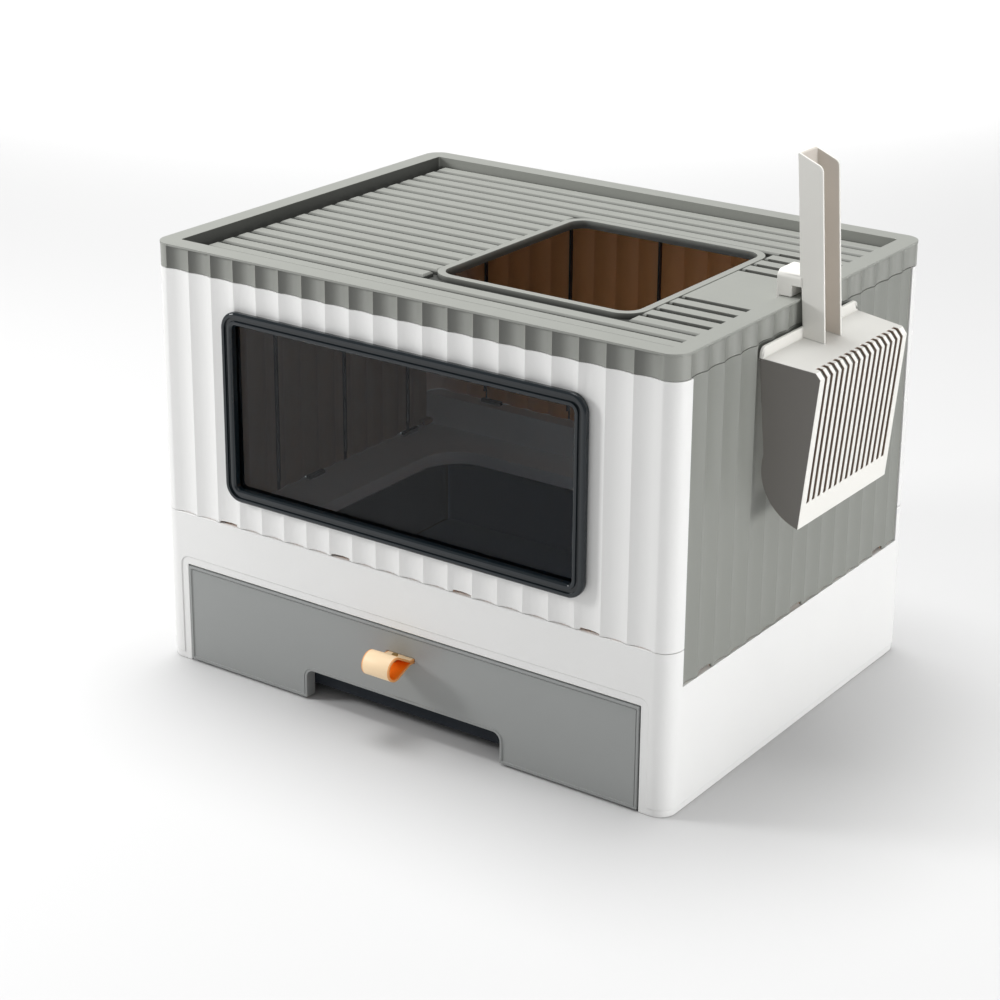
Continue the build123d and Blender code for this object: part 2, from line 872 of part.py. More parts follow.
def scoop_grille():
    """Cutters for the slots, which run down the face and wrap over its top edge."""
    low = tip_drop + scoop_tip_band
    section = polygon(
        (face_line(low) - 2 * scoop_wall, low),
        (face_line(low) + slot_margin, low),
        (bowl_depth + slot_margin, shoulder_front + slot_margin),
        (bowl_depth - scoop_slot_wrap, shoulder_front + slot_margin),
        (bowl_depth - scoop_slot_wrap, shoulder_front - slot_margin),
    )
    first = -scoop_slot_pitch * (scoop_slots - 1) / 2
    half = scoop_slot_width / 2
    return [
        bar_along_y(section, first + index * scoop_slot_pitch - half, first + index * scoop_slot_pitch + half)
        for index in range(scoop_slots)
    ]


def scoop_lip():
    """Upright lip along the back of the scoop's shoulder."""
    half = scoop_width / 2
    height = scoop_lip_top - shoulder_back + scoop_wall
    outline = Pos(0, scoop_lip_top - height / 2) * Rectangle(2 * half, height)
    outline = fillet(outline.vertices().group_by(Axis.Y)[-1], scoop_lip_round)
    return bar_along_x(outline, scoop_gap, scoop_gap + scoop_lip_thickness)


def scoop_handle():
    """Leaning channel handle, open to the front and at its top."""
    foot = shoulder_back - scoop_wall
    half = handle_width / 2
    front_top = handle_top - handle_front_drop
    corner = (handle_front_top, front_top)
    outline = polygon(
        (handle_back_foot, foot), (handle_front_foot, foot), corner, (handle_back_top, handle_top)
    )
    outline = fillet(outline.vertices().sort_by_distance((*corner, 0))[0], handle_round)
    handle = bar_along_y(outline, -half, half)
    channel = polygon(
        (handle_back_foot + handle_wall, foot - overlap),
        (handle_front_foot + bowl_depth, foot - overlap),
        (handle_front_foot + bowl_depth, handle_top + overlap),
        (handle_back_top + handle_wall, handle_top + overlap),
    )
    return handle - bar_along_y(channel, handle_wall - half, half - handle_wall)


def scoop_hook():
    """Block that sits on the lid's rim, with a lip down inside the recess."""
    back = -rim_width - hook_reach
    lean = (handle_back_top - handle_back_foot) / (handle_top - shoulder_back + scoop_wall)
    handle_back = handle_back_foot + lean * (hook_height - shoulder_back + scoop_wall)
    top = hook_rest + hook_height
    half = hook_width / 2
    face = Pos(0, (hook_arch + top) / 2) * Rectangle(hook_width, top - hook_arch)
    face = fillet(face.vertices().group_by(Axis.Y)[-1], hook_round)
    hook = bar_along_x(face, back, handle_back + handle_wall / 2)
    hook += block((back, back + hook_block), (-half, half), (hook_rest, hook_arch + overlap))
    hook += block((back, back + hook_lip), (-half, half), (-hook_drop, hook_rest + overlap))
    return hook


def make_scoop():
    bowl = make_bowl()
    for slot in scoop_grille():
        bowl -= slot
    return scoop_place * (bowl + scoop_lip() + scoop_handle() + scoop_hook())


side_wall = make_side_wall()
left_runner, right_runner = make_runners()
nodes = {
    "base_frame": make_base_frame(),
    "left_runner": left_runner,
    "right_runner": right_runner,
    "runner_screws": make_runner_screws(),
    "front_wall": front_place * make_front_wall(),
    "back_wall": back_place * make_back_wall(),
    "left_wall": left_place * side_wall,
    "right_wall": right_place * side_wall,
    "hinge_pins": make_hinge_pins(),
    "window_bezel": make_window_bezel(),
    "window_pane": make_window_pane(),
    "window_retainer": make_window_retainer(),
    "drawer_tray": make_drawer_tray(),
    "drawer_front": make_drawer_front(),
    "drawer_screws": make_drawer_screws(),
    "pull_loop": make_pull_loop(),
    "pull_rivet": make_pull_rivet(),
    "pull_pin": make_pull_pin(),
    "lid": make_lid(),
    "litter_scoop": make_scoop(),
}

os.makedirs("parts", exist_ok=True)
for name, shape in nodes.items():
    export_step(shape, f"parts/{name}.step")
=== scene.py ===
import math

import bpy
from mathutils import Matrix, Vector


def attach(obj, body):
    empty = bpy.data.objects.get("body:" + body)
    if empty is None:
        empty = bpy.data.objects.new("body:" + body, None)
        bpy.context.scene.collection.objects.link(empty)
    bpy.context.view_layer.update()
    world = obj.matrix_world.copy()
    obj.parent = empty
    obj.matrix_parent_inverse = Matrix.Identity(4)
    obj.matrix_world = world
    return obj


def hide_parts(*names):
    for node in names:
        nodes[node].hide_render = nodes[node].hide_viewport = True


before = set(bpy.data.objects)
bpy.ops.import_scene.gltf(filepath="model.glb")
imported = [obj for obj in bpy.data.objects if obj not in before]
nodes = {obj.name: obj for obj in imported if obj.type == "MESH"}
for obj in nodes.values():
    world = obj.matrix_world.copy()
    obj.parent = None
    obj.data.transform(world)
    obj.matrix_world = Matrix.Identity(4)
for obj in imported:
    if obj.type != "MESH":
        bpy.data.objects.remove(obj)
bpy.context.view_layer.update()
print("stage: frame loaded,", len(nodes), "nodes")


def makeGroup(name, inputs, outputs):
    tree = bpy.data.node_groups.new(name, "ShaderNodeTree")
    for label, value in inputs.items():
        kind = "NodeSocketColor" if isinstance(value, tuple) else "NodeSocketFloat"
        tree.interface.new_socket(name=label, in_out="INPUT", socket_type=kind).default_value = value
    for label, kind in outputs.items():
        tree.interface.new_socket(name=label, in_out="OUTPUT", socket_type=kind)
    return tree, tree.nodes.new("NodeGroupInput").outputs, tree.nodes.new("NodeGroupOutput").inputs


def addNode(tree, kind, values=None, links=None, **settings):
    node = tree.nodes.new(kind)
    for key, value in settings.items():
        setattr(node, key, value)
    for key, value in (values or {}).items():
        node.inputs[key].default_value = value
    for key, socket in (links or {}).items():
        tree.links.new(socket, node.inputs[key])
    return node


def mathNode(tree, operation, first, second=0.0):
    node = tree.nodes.new("ShaderNodeMath")
    node.operation = operation
    for index, value in enumerate((first, second)):
        if isinstance(value, (int, float)):
            node.inputs[index].default_value = value
        else:
            tree.links.new(value, node.inputs[index])
    return node.outputs[0]


def productOf(tree, first, *others):
    product = first
    for other in others:
        product = mathNode(tree, "MULTIPLY", product, other)
    return product


def objectPlace(tree):
    return addNode(tree, "ShaderNodeTexCoord").outputs["Object"]


def objectAxes(tree):
    return addNode(tree, "ShaderNodeSeparateXYZ", {}, {"Vector": objectPlace(tree)}).outputs


def grainGroup():
    look = {
        "flow": {"Scale": 7.0, "Detail": 3.0},  # broad flow marks
        "mottle": {"Scale": 60.0, "Detail": 4.0},
        "spark": {"Scale": 1800.0, "Detail": 1.0},  # spark texture of the mould
        "sparkDepth": 0.00008,
        "mottleShare": 0.5,
        "roughSwing": 0.22,
    }
    tree, given, result = makeGroup(
        "mouldedGrain",
        {"Color": (0.8, 0.8, 0.8, 1), "Spread": 0.03, "Roughness": 0.4, "Grain": 0.1},
        {"Color": "NodeSocketColor", "Roughness": "NodeSocketFloat", "Normal": "NodeSocketVector"},
    )
    place = objectPlace(tree)
    flow, mottle, spark = (
        addNode(tree, "ShaderNodeTexNoise", look[key], {"Vector": place}).outputs["Fac"]
        for key in ("flow", "mottle", "spark")
    )
    middle = 0.5 + 0.5 * look["mottleShare"]
    mixed = mathNode(tree, "ADD", flow, mathNode(tree, "MULTIPLY", mottle, look["mottleShare"]))
    swing = productOf(tree, mathNode(tree, "SUBTRACT", mixed, middle), given["Spread"], 2.0)
    value = mathNode(tree, "ADD", swing, 1.0)
    toned = addNode(tree, "ShaderNodeHueSaturation", {}, {"Value": value, "Color": given["Color"]})
    roughSwing = mathNode(tree, "MULTIPLY", mathNode(tree, "SUBTRACT", mottle, 0.5), look["roughSwing"])
    bump = addNode(
        tree,
        "ShaderNodeBump",
        {"Distance": look["sparkDepth"]},
        {"Strength": given["Grain"], "Height": spark},
    )
    tree.links.new(toned.outputs["Color"], result["Color"])
    tree.links.new(mathNode(tree, "ADD", given["Roughness"], roughSwing), result["Roughness"])
    tree.links.new(bump.outputs["Normal"], result["Normal"])
    return tree


# painted warm shade: the Mask output tints the walls' inner faces brown for the shade inside the box, fading
# out towards the left end, and the Post output paints the ribs dark; the tray uses the Mask output for its
# own navy inside
def insideColourAndShadeGroup():
    tree, given, result = makeGroup(
        "insideColourAndShadeMask",
        {
            "Straight Length": 0.235,
            "Straight Depth": 0.176,
            "Inner Radius": 0.0127,
            "Fade From": -0.27,
            "Fade To": -0.19,
            "Side Pitch": 0.09387,
            "Back Pitch": 0.094,
            "Side Share": 0.024,
            "Back Share": 0.011,
            "Side Start": -0.236,
            "Back Start": 0.178,
            "Rim Height": 0.3412,
        },
        {"Mask": "NodeSocketFloat", "Post": "NodeSocketFloat"},
    )
    axes = objectAxes(tree)
    squares = []
    for axis, straight in (("X", "Straight Length"), ("Y", "Straight Depth")):
        reach = mathNode(tree, "ABSOLUTE", axes[axis])
        past = mathNode(tree, "MAXIMUM", mathNode(tree, "SUBTRACT", reach, given[straight]), 0.0)
        squares.append(mathNode(tree, "MULTIPLY", past, past))
    bend = mathNode(tree, "SQRT", mathNode(tree, "ADD", *squares))  # round corners as on the walls
    inside = productOf(
        tree,
        mathNode(tree, "LESS_THAN", bend, given["Inner Radius"]),
        mathNode(tree, "LESS_THAN", axes["Z"], given["Rim Height"]),  # the lips under the lid stay plain
    )
    fade = addNode(
        tree,
        "ShaderNodeMapRange",
        {},
        {"Value": axes["X"], "From Min": given["Fade From"], "From Max": given["Fade To"]},
    )
    posts = []  # painted shade: the stiffening ribs are painted dark, as they look in the shade
    for along, across, label, shift, towards in (
        ("Y", "X", "Side", 0.0, "LESS_THAN"),
        ("X", "Y", "Back", 0.5, "GREATER_THAN"),
    ):
        turns = mathNode(tree, "DIVIDE", axes[along], given[label + " Pitch"])
        phase = mathNode(tree, "FRACT", mathNode(tree, "ADD", turns, shift))
        away = mathNode(tree, "ABSOLUTE", mathNode(tree, "SUBTRACT", phase, 0.5))
        near = mathNode(tree, "LESS_THAN", away, given[label + " Share"])
        posts.append(productOf(tree, near, mathNode(tree, towards, axes[across], given[label + " Start"])))
    tree.links.new(productOf(tree, inside, fade.outputs["Result"]), result["Mask"])
    tree.links.new(productOf(tree, mathNode(tree, "MAXIMUM", *posts), inside), result["Post"])
    return tree


# painted shade: darkens the lid's grooves towards their floor and the inner face of its left rim; the tray
# uses the Mask output to keep its underside dark
def grooveShadeGroup():
    tree, given, result = makeGroup(
        "grooveShadeMask",
        {
            "Half Length": 0.2342,
            "Half Depth": 0.1752,
            "Floor": 0.3543,
            "Top": 0.3583,
            "Sharpness": 0.6,
            "Rim Face": -0.2332,
            "Rim Back": -0.2338,
            "Rim Top": 0.3662,
        },
        {"Mask": "NodeSocketFloat", "Rim": "NodeSocketFloat"},
    )
    axes = objectAxes(tree)
    height = addNode(
        tree,
        "ShaderNodeMapRange",
        {"To Min": 1.0, "To Max": 0.0},
        {"Value": axes["Z"], "From Min": given["Floor"], "From Max": given["Top"]},
    )
    groove = productOf(
        tree,
        height.outputs["Result"],
        mathNode(tree, "LESS_THAN", mathNode(tree, "ABSOLUTE", axes["X"]), given["Half Length"]),
        mathNode(tree, "LESS_THAN", mathNode(tree, "ABSOLUTE", axes["Y"]), given["Half Depth"]),
    )
    rim = productOf(  # painted shade on the inner face of the left rim
        tree,
        mathNode(tree, "LESS_THAN", axes["X"], given["Rim Face"]),
        mathNode(tree, "GREATER_THAN", axes["X"], given["Rim Back"]),
        mathNode(tree, "GREATER_THAN", axes["Z"], given["Floor"]),
        mathNode(tree, "LESS_THAN", axes["Z"], given["Rim Top"]),
    )
    tree.links.new(mathNode(tree, "POWER", groove, given["Sharpness"]), result["Mask"])
    tree.links.new(rim, result["Rim"])
    return tree


# painted shade on the scoop: inside its bowl behind the slots, on its cheeks, on its shoulder and in its
# handle channel
def scoopShadeGroup():
    lean = {  # outward directions of the scoop's sloping faces
        "face": (0.9951, 0, -0.0995),
        "brow": (0.7743, 0, 0.6329),
        "shoulder": (0.1005, 0, 0.9950),
        "back": (0.9968, 0, 0.0803),
    }
    cheekLean = {"along": 0.0985, "across": 0.9951}  # the cheeks close in towards the face
    tree, given, result = makeGroup(
        "scoopShadeMask",
        {
            "Middle": -0.006,
            "Face Reach": 0.2655,
            "Brow Reach": 0.4387,
            "Shoulder Reach": 0.3600,
            "Shoulder From": 0.2545,
            "Handle Foot": 0.3614,
            "Inner Half": 0.0665,
            "Cheek Reach": 0.0988,
            "Back Reach": 0.2812,
            "Channel Half": 0.0118,
        },
        {label: "NodeSocketFloat" for label in ("Bowl", "Cheek", "Shoulder", "Channel")},
    )
    place = objectPlace(tree)
    axes = objectAxes(tree)

    def sideOf(key, operation, limit):
        dot = addNode(tree, "ShaderNodeVectorMath", {1: lean[key]}, {0: place}, operation="DOT_PRODUCT")
        return mathNode(tree, operation, dot.outputs["Value"], given[limit])

    across = mathNode(tree, "ABSOLUTE", mathNode(tree, "SUBTRACT", axes["Y"], given["Middle"]))
    under = sideOf("shoulder", "LESS_THAN", "Shoulder Reach")
    behind = sideOf("face", "LESS_THAN", "Face Reach")
    above = sideOf("shoulder", "GREATER_THAN", "Handle Foot")
    bowl = productOf(
        tree,
        under,
        behind,
        mathNode(tree, "LESS_THAN", across, given["Inner Half"]),
        sideOf("brow", "LESS_THAN", "Brow Reach"),
    )
    outer = mathNode(
        tree,
        "ADD",
        mathNode(tree, "MULTIPLY", across, cheekLean["across"]),
        mathNode(tree, "MULTIPLY", axes["X"], cheekLean["along"]),
    )
    cheek = productOf(tree, mathNode(tree, "GREATER_THAN", outer, given["Cheek Reach"]), under, behind)
    level = mathNode(tree, "SUBTRACT", 1.0, mathNode(tree, "MAXIMUM", under, above))
    shoulder = productOf(tree, level, mathNode(tree, "GREATER_THAN", axes["X"], given["Shoulder From"]))
    channel = productOf(
        tree,
        sideOf("back", "GREATER_THAN", "Back Reach"),
        mathNode(tree, "LESS_THAN", across, given["Channel Half"]),
        above,
    )
    for label, mask in (("Bowl", bowl), ("Cheek", cheek), ("Shoulder", shoulder), ("Channel", channel)):
        tree.links.new(mask, result[label])
    return tree


# bump height for the lid skirt's flutes, and painted shade on one side of each flute
def fluteReliefAndShadeGroup():
    tree, given, result = makeGroup(
        "fluteReliefAndShade",
        {
            "Depth": 0.0036,
            "Front Run": 0.235,
            "Front Pitch": 0.0235,
            "Front From": 0.186,
            "Front Tone": 1.0,
            "Side Run": 0.176,
            "Side Pitch": 0.023467,
            "Side From": 0.245,
            "Side Tone": 0.35,
            "Foot": 0.3462,
            "Head": 0.3644,
        },
        {"Height": "NodeSocketFloat", "Shade": "NodeSocketFloat"},
    )
    axes = objectAxes(tree)
    hollows = []
    shades = []
    for along, across, label in (("X", "Y", "Front"), ("Y", "X", "Side")):
        shifted = mathNode(tree, "ADD", axes[along], given[label + " Run"])
        phase = mathNode(tree, "FRACT", mathNode(tree, "DIVIDE", shifted, given[label + " Pitch"]))
        reach = mathNode(tree, "ABSOLUTE", axes[across])
        run = mathNode(tree, "ABSOLUTE", axes[along])
        skirt = productOf(
            tree,
            mathNode(tree, "GREATER_THAN", reach, given[label + " From"]),
            mathNode(tree, "LESS_THAN", run, given[label + " Run"]),
        )
        bow = productOf(tree, phase, mathNode(tree, "SUBTRACT", phase, 1.0), 4.0)  # one deep in the middle
        hollows.append(mathNode(tree, "MULTIPLY", bow, skirt))
        # painted shade, darkest on one side of each flute and fading across it
        shades.append(productOf(tree, mathNode(tree, "SUBTRACT", 1.0, phase), skirt, given[label + " Tone"]))
    band = productOf(
        tree,
        mathNode(tree, "GREATER_THAN", axes["Z"], given["Foot"]),
        mathNode(tree, "LESS_THAN", axes["Z"], given["Head"]),
    )
    tree.links.new(productOf(tree, mathNode(tree, "ADD", *hollows), band, given["Depth"]), result["Height"])
    tree.links.new(productOf(tree, mathNode(tree, "ADD", *shades), band), result["Shade"])
    return tree


# painted shade: the base is painted near black above its seat heights, where its hinge tabs stand behind the
# slots in the walls
def tabShadeGroup():
    tree, given, result = makeGroup(
        "tabShadeMask",
        {"Side Seat": 0.1047, "Side From": 0.2385, "Side Half": 0.160, "Front Seat": 0.1352},
        {"Mask": "NodeSocketFloat"},
    )
    axes = objectAxes(tree)
    side = productOf(
        tree,
        mathNode(tree, "GREATER_THAN", axes["Z"], given["Side Seat"]),
        mathNode(tree, "GREATER_THAN", mathNode(tree, "ABSOLUTE", axes["X"]), given["Side From"]),
        mathNode(tree, "LESS_THAN", mathNode(tree, "ABSOLUTE", axes["Y"]), given["Side Half"]),
    )
    front = mathNode(tree, "GREATER_THAN", axes["Z"], given["Front Seat"])
    tree.links.new(mathNode(tree, "MAXIMUM", side, front), result["Mask"])
    return tree


grainTree = grainGroup()
insideColourAndShadeTree = insideColourAndShadeGroup()
grooveShadeTree = grooveShadeGroup()
scoopShadeTree = scoopShadeGroup()
fluteReliefAndShadeTree = fluteReliefAndShadeGroup()
tabShadeTree = tabShadeGroup()


def startMaterial(name):
    material = bpy.data.materials.new(name)
    material.use_nodes = True
    tree = material.node_tree
    return material, tree, tree.nodes["Principled BSDF"]


def grainNode(tree, look):
    values = {"Color": (*look["color"], 1)}
    for label in ("Spread", "Roughness", "Grain"):
        values[label] = look[label.lower()]
    return addNode(tree, "ShaderNodeGroup", values, node_tree=grainTree)


mixSockets = {"factor": 0, "first": 6, "second": 7, "result": 2}  # colour sockets of a mix node


def mixColor(tree, mask, first, second):
    mix = addNode(tree, "ShaderNodeMix", data_type="RGBA")
    tree.links.new(mask, mix.inputs[mixSockets["factor"]])
    firstInput = mix.inputs[mixSockets["first"]]
    if isinstance(first, tuple):
        firstInput.default_value = (*first, 1)
    else:
        tree.links.new(first, firstInput)
    mix.inputs[mixSockets["second"]].default_value = (*second, 1)
    return mix.outputs[mixSockets["result"]]


def linkGrain(tree, shader, grain):
    tree.links.new(grain.outputs["Color"], shader.inputs["Base Color"])
    tree.links.new(grain.outputs["Roughness"], shader.inputs["Roughness"])
    tree.links.new(grain.outputs["Normal"], shader.inputs["Normal"])


def plastic(name, look):
    material, tree, shader = startMaterial(name)
    grain = grainNode(tree, look)
    linkGrain(tree, shader, grain)
    shade = look["color"]
    for maskTree, output, color, *sizes in look.get("tints", ()):
        mask = addNode(tree, "ShaderNodeGroup", *sizes, node_tree=maskTree)
        shade = mixColor(tree, mask.outputs[output], shade, color)
    if "tints" in look:
        tree.links.new(shade, grain.inputs["Color"])
    if "relief" in look:
        relief = addNode(tree, "ShaderNodeGroup", node_tree=look["relief"])
        bump = addNode(
            tree,
            "ShaderNodeBump",
            {"Distance": 1.0, "Strength": 1.0},
            {"Height": relief.outputs["Height"], "Normal": grain.outputs["Normal"]},
        )
        tree.links.new(bump.outputs["Normal"], shader.inputs["Normal"])
    shader.inputs["Specular IOR Level"].default_value = look["specular"]
    return material


whiteLook = {"color": (0.82, 0.82, 0.81), "spread": 0.02, "roughness": 0.42, "grain": 0.06, "specular": 0.4}
greyLook = dict(whiteLook, color=(0.240, 0.247, 0.226), spread=0.03, roughness=0.46, grain=0.08)
# painted shade for the wall posts
postShadeColor = (0.045, 0.042, 0.042)

# painted shade on the base's hinge tabs
baseLook = dict(whiteLook, tints=[(tabShadeTree, "Mask", (0.045, 0.045, 0.043))])
basePlastic = plastic("basePlastic", baseLook)

wallLook = dict(whiteLook)
# painted warm shade on the inner faces, and painted shade on the posts
wallLook["tints"] = [(insideColourAndShadeTree, "Mask", (0.84, 0.40, 0.155)), (insideColourAndShadeTree, "Post", postShadeColor)]
wallPlastic = plastic("wallPlastic", wallLook)

lidLook = dict(greyLook, color=(0.292, 0.299, 0.275), relief=fluteReliefAndShadeTree)
# painted shade in the grooves, on the inner face of the left rim and on one side of each skirt flute
lidLook["tints"] = [
    (grooveShadeTree, "Mask", (0.055, 0.057, 0.052)),
    (grooveShadeTree, "Rim", (0.105, 0.108, 0.099)),
    (fluteReliefAndShadeTree, "Shade", (0.180, 0.184, 0.170)),
]
lidPlastic = plastic("lidPlastic", lidLook)

sideLook = dict(greyLook)
# painted warm shade on the inner faces, and painted shade on the posts
sideLook["tints"] = [(insideColourAndShadeTree, "Mask", (0.68, 0.42, 0.245)), (insideColourAndShadeTree, "Post", postShadeColor)]
sidePlastic = plastic("sidePlastic", sideLook)

scoopLook = dict(whiteLook, color=(0.80, 0.79, 0.75), roughness=0.4)
# painted shade inside the bowl, on the cheeks, on the shoulder and in the handle channel
scoopLook["tints"] = [
    (scoopShadeTree, "Bowl", (0.23, 0.165, 0.125)),
    (scoopShadeTree, "Cheek", (0.185, 0.175, 0.162)),
    (scoopShadeTree, "Shoulder", (0.56, 0.553, 0.525)),
    (scoopShadeTree, "Channel", (0.64, 0.595, 0.54)),
]
scoopPlastic = plastic("scoopPlastic", scoopLook)

drawerLook = dict(greyLook, color=(0.31, 0.32, 0.315), roughness=0.45, grain=0.1)
drawerPlastic = plastic("drawerPlastic", drawerLook)

# painted shade: the tray's outside and underside are near black, for the shade under the drawer
trayLook = {
    "color": (0.012, 0.016, 0.022),
    "spread": 0.05,
    "roughness": 0.55,
    "grain": 0.03,
    "specular": 0.2,
}
trayInside = {
    "Straight Length": 0.2167,
    "Straight Depth": 0.1740,
    "Inner Radius": 0.0005,
    "Fade From": -1.0,
    "Fade To": -0.9,
}
trayUnderShade = {"Half Length": 1.0, "Half Depth": 1.0, "Floor": 0.0120, "Top": 0.0130}
# the tray's own navy inside, with the painted near-black shade kept on its underside
trayLook["tints"] = [
    (insideColourAndShadeTree, "Mask", (0.035, 0.062, 0.105), trayInside),
    (grooveShadeTree, "Mask", trayLook["color"], trayUnderShade),
]
trayPlastic = plastic("trayPlastic", trayLook)

runnerLook = {"color": (0.28, 0.28, 0.27), "spread": 0.04, "roughness": 0.5, "grain": 0.12, "specular": 0.35}
runnerPlastic = plastic("runnerPlastic", runnerLook)

frameLook = {
    "color": (0.008, 0.013, 0.017),
    "spread": 0.06,
    "roughness": 0.08,
    "grain": 0.02,
    "specular": 0.45,
}
framePlastic = plastic("framePlastic", frameLook)


def metal(name, look):
    material, tree, shader = startMaterial(name)
    linkGrain(tree, shader, grainNode(tree, look))
    shader.inputs["Metallic"].default_value = 1.0
    return material


steel = metal("steel", {"color": (0.42, 0.42, 0.43), "spread": 0.06, "roughness": 0.34, "grain": 0.2})
brass = metal("brass", {"color": (0.52, 0.34, 0.13), "spread": 0.08, "roughness": 0.32, "grain": 0.1})


def smokeGlass():
    look = {"color": (0.57, 0.63, 0.69), "spread": 0.04, "roughness": 0.02, "ior": 1.2}
    material, tree, shader = startMaterial("smokeGlass")
    values = {"Color": (*look["color"], 1), "Spread": look["spread"]}
    grain = addNode(tree, "ShaderNodeGroup", values, node_tree=grainTree)
    tree.links.new(grain.outputs["Color"], shader.inputs["Base Color"])  # the sheet stays flat and clear
    shader.inputs["Roughness"].default_value = look["roughness"]
    shader.inputs["IOR"].default_value = look["ior"]
    shader.inputs["Transmission Weight"].default_value = 1.0
    return material


smoke = smokeGlass()
print("stage: materials made")


def activate(obj):
    bpy.ops.object.select_all(action="DESELECT")
    obj.select_set(True)
    bpy.context.view_layer.objects.active = obj


def applyModifier(obj, kind, **settings):
    modifier = obj.modifiers.new(kind.lower(), kind)
    for key, value in settings.items():
        setattr(modifier, key, value)
    bpy.ops.object.modifier_apply(modifier=modifier.name)


def roundEdges(obj, look):
    applyModifier(
        obj,
        "BEVEL",
        width=look["bevel"],
        segments=look["segments"],
        limit_method="ANGLE",
        angle_limit=math.radians(look["limit"]),
        use_clamp_overlap=False,
    )
    activate(obj)
    bpy.ops.object.shade_smooth_by_angle(angle=math.radians(look["smooth"]))


mergeWithin = 0.00001
flatWithin = math.radians(0.3)
slotWithin = 0.0001
facingDown = -0.9


def smoothCopy(nodeName, pieceName, bodyName, material, look):
    source = nodes[nodeName]
    mesh = source.data.copy()
    mesh.name = pieceName
    mesh.transform(source.matrix_world)
    mesh.materials.clear()
    mesh.materials.append(material)
    piece = bpy.data.objects.new(pieceName, mesh)
    bpy.context.scene.collection.objects.link(piece)
    activate(piece)
    bpy.ops.mesh.customdata_custom_splitnormals_clear()
    bpy.ops.object.mode_set(mode="EDIT")
    bpy.ops.mesh.select_all(action="SELECT")
    bpy.ops.mesh.remove_doubles(threshold=mergeWithin)
    bpy.ops.mesh.dissolve_limited(angle_limit=flatWithin)
    bpy.ops.mesh.vert_connect_concave()
    bpy.ops.mesh.normals_make_consistent(inside=False)
    bpy.ops.mesh.select_all(action="DESELECT")
    bpy.ops.object.mode_set(mode="OBJECT")
    if "slotTop" in look:
        for polygon in mesh.polygons:
            level = abs(polygon.center.z - look["slotTop"]) < slotWithin
            polygon.select = level and polygon.normal.z < facingDown
        bpy.ops.object.mode_set(mode="EDIT")
        bpy.ops.transform.translate(value=(0, 0, -look["slotDrop"]))
        bpy.ops.object.mode_set(mode="OBJECT")
    roundEdges(piece, look)
    applyModifier(piece, "WEIGHTED_NORMAL", keep_sharp=True, weight=look["weight"])
    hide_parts(nodeName)
    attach(piece, bodyName)


wallShape = {"bevel": 0.0004, "segments": 2, "limit": 40, "smooth": 28, "weight": 50}
smoothCopy("front_wall", "frontWall", "base", wallPlastic, wallShape)
smoothCopy("back_wall", "backWall", "base", wallPlastic, wallShape)
leftShape = dict(wallShape, slotTop=0.1075, slotDrop=0.0018)  # the floor doesn't glint through the slots
smoothCopy("left_wall", "leftWall", "left_side", sidePlastic, leftShape)
smoothCopy("right_wall", "rightWall", "right_side", sidePlastic, wallShape)
print("stage: walls done")

baseShape = {"bevel": 0.0006, "segments": 2, "limit": 40, "smooth": 32, "weight": 50}
smoothCopy("base_frame", "baseFrame", "base", basePlastic, baseShape)
lidShape = {"bevel": 0.00028, "segments": 2, "limit": 40, "smooth": 28, "weight": 50}
smoothCopy("lid", "lidShell", "lid", lidPlastic, lidShape)
bezelShape = {"bevel": 0.0005, "segments": 2, "limit": 30, "smooth": 32, "weight": 50}
smoothCopy("window_bezel", "windowBezel", "base", framePlastic, bezelShape)
drawerShape = {"bevel": 0.0008, "segments": 2, "limit": 40, "smooth": 32, "weight": 50}
smoothCopy("drawer_front", "drawerFront", "drawer", drawerPlastic, drawerShape)
smoothCopy("drawer_tray", "drawerTray", "drawer", trayPlastic, drawerShape)
scoopShape = {"bevel": 0.0008, "segments": 2, "limit": 35, "smooth": 32, "weight": 100}
smoothCopy("litter_scoop", "litterScoop", "scoop", scoopPlastic, scoopShape)
print("stage: base, lid, window, drawer and scoop done")

smallParts = {
    "left_runner": runnerPlastic,
    "right_runner": runnerPlastic,
    "runner_screws": steel,
    "hinge_pins": steel,
    "window_retainer": framePlastic,
    "window_pane": smoke,
    "drawer_screws": steel,
    "pull_rivet": brass,
    "pull_pin": steel,
}
for nodeName, material in smallParts.items():
    nodes[nodeName].data.materials.clear()
    nodes[nodeName].data.materials.append(material)
print("stage: small parts coloured")


def strapMaterial(name, look):
    material, tree, shader = startMaterial(name)
    grain = grainNode(tree, look)
    linkGrain(tree, shader, grain)
    across = mathNode(tree, "ABSOLUTE", objectAxes(tree)["X"])
    edge = mathNode(tree, "GREATER_THAN", across, look["edgeAt"])
    tree.links.new(mixColor(tree, edge, look["color"], look["edge"]), grain.inputs["Color"])
    return material


outsideLook = {
    "color": (0.95, 0.72, 0.46),
    "edge": (0.80, 0.36, 0.12),
    "edgeAt": 0.0123,
    "spread": 0.05,
    "roughness": 0.5,
    "grain": 0.3,
}
insideLook = {
    "color": (1.0, 0.29, 0.004),
    "edge": (0.80, 0.30, 0.08),
    "edgeAt": 0.0123,
    "spread": 0.08,
    "roughness": 0.6,
    "grain": 0.3,
}
strapShape = {
    "width": 0.027,
    "thickness": 0.0018,
    "layerGap": 0.00005,  # keeps the two layers apart
    "front": -0.191,
    "height": 0.0655,
    "reach": 0.0225,
    "rise": 0.0014,
    "radius": 0.010,
    "eyeAt": -0.0075,
    "eyeRadius": 0.0032,
    "arcSteps": 28,
    "eyeSteps": 10,
    "bevel": 0.0003,
    "segments": 2,
    "limit": 60,
    "smooth": 32,
}


def arcPoints(center, radius, start, sweep, steps):
    points = []
    for step in range(steps + 1):
        angle = start - step / steps * sweep
        points.append((center[0] + radius * math.cos(angle), center[1] + radius * math.sin(angle)))
    return points


